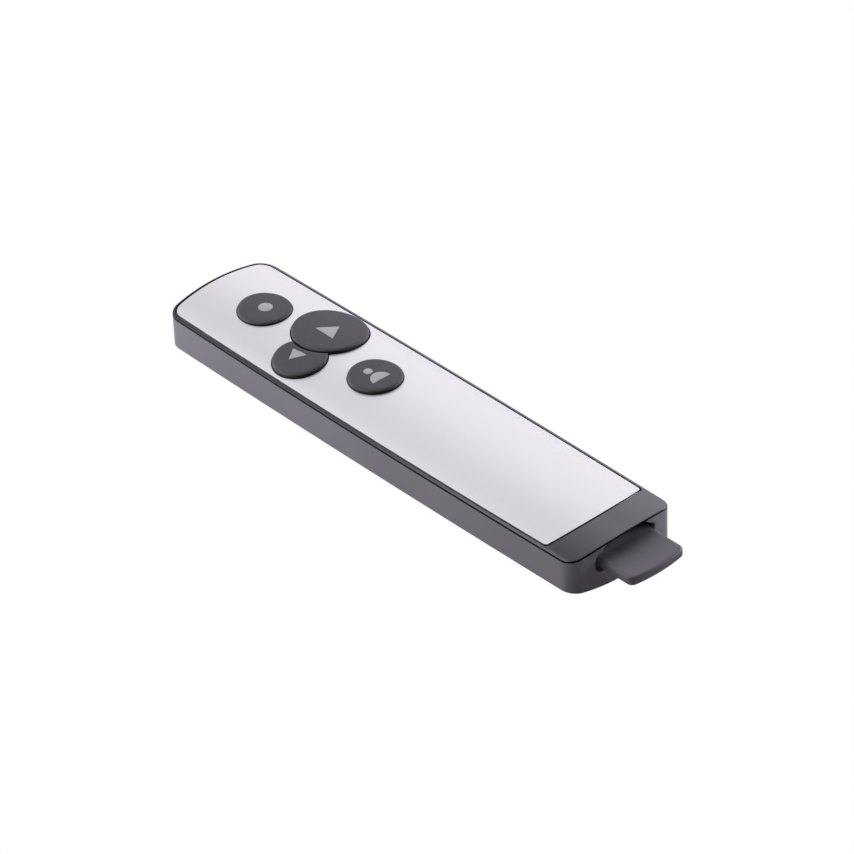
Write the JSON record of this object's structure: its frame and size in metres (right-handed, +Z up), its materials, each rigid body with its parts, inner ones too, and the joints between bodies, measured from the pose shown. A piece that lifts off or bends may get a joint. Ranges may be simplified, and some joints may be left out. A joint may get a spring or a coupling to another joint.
{
  "type": "wireless presentation clicker",
  "caption": "Slim flat bar with a crowned metal face, round rubber buttons, a laser at one end and a pull-out USB receiver at the other, over a battery bay.",
  "frame": {"origin": "on the flat strip of the belly, under the middle of the whole object with its receiver standing out", "axes": "+X across, to the right when the laser end points away; +Y along the body, towards the laser end; +Z up out of the button face"},
  "size_m": [0.036, 0.166, 0.0141],
  "materials": {
    "case_plastic": "satin dark grey",
    "gloss_frame": "glossy near-black",
    "brushed_plate": "finely brushed, satin",
    "button_rubber": "soft matte",
    "receiver_plastic": "soft satin dark grey",
    "inner_black": "moulded",
    "plated_metal": "nickel plated",
    "board_green": "solder mask",
    "capacitor_tan": "fired",
    "antenna_white": "plain",
    "laser_brass": "turned",
    "lens_glass": "clear",
    "window_glass": "tinted",
    "cell_sleeve": "printed sleeve, bare of words",
    "pictogram_grey": "pad printed"
  },
  "bodies": {
    "housing": {"bottom_case": "case_plastic", "top_frame": "gloss_frame", "face_plate": "brushed_plate", "laser_switch": "plated_metal", "forward_switch": "plated_metal", "back_switch": "plated_metal", "blank_switch": "plated_metal", "main_board": "board_green", "controller_chip": "inner_black", "radio_chip": "inner_black", "crystal_can": "plated_metal", "board_capacitors": "capacitor_tan", "chip_antenna": "antenna_white", "laser_barrel": "laser_brass", "laser_diode": "laser_brass", "laser_lens": "lens_glass", "laser_window": "window_glass", "cell_left": "cell_sleeve", "cell_right": "cell_sleeve", "battery_springs": "plated_metal", "positive_plate": "plated_metal", "negative_plate": "plated_metal", "bridge_plate": "plated_metal", "receiver_dock": "inner_black", "dock_springs": "plated_metal", "fixing_screws": "plated_metal"},
    "laser_key": {"laser_button": "button_rubber", "laser_plunger": "inner_black"},
    "forward_key": {"forward_button": "button_rubber", "forward_plunger": "inner_black"},
    "back_key": {"back_button": "button_rubber", "back_plunger": "inner_black"},
    "blank_key": {"blank_button": "button_rubber", "blank_plunger": "inner_black"},
    "receiver": {"receiver_top": "receiver_plastic", "receiver_bottom": "receiver_plastic", "usb_shell": "plated_metal", "usb_tongue": "antenna_white", "usb_contacts": "laser_brass", "receiver_board": "board_green", "receiver_chip": "inner_black", "receiver_crystal": "plated_metal"},
    "door": {"battery_door": "case_plastic"}
  },
  "joints": [
    {"name": "laser_press", "type": "slide", "parent": "housing", "child": "laser_key", "axis": [0, 0, -1], "range_m": [0, 0.0005], "stiffness_N_per_m": 1500},
    {"name": "forward_press", "type": "slide", "parent": "housing", "child": "forward_key", "axis": [0, 0, -1], "range_m": [0, 0.0005], "stiffness_N_per_m": 1500},
    {"name": "back_press", "type": "slide", "parent": "housing", "child": "back_key", "axis": [0, 0, -1], "range_m": [0, 0.0005], "stiffness_N_per_m": 1500},
    {"name": "blank_press", "type": "slide", "parent": "housing", "child": "blank_key", "axis": [0, 0, -1], "range_m": [0, 0.0005], "stiffness_N_per_m": 1500},
    {"name": "receiver_pull", "type": "slide", "parent": "housing", "child": "receiver", "axis": [0, -1, 0], "range_m": [-0.0116, 0.021]},
    {"name": "door_tip", "type": "hinge", "parent": "housing", "child": "door", "pos_m": [0, 0.0114, 0.00005], "axis": [1, 0, 0], "range_deg": [0, 80]}
  ]
}
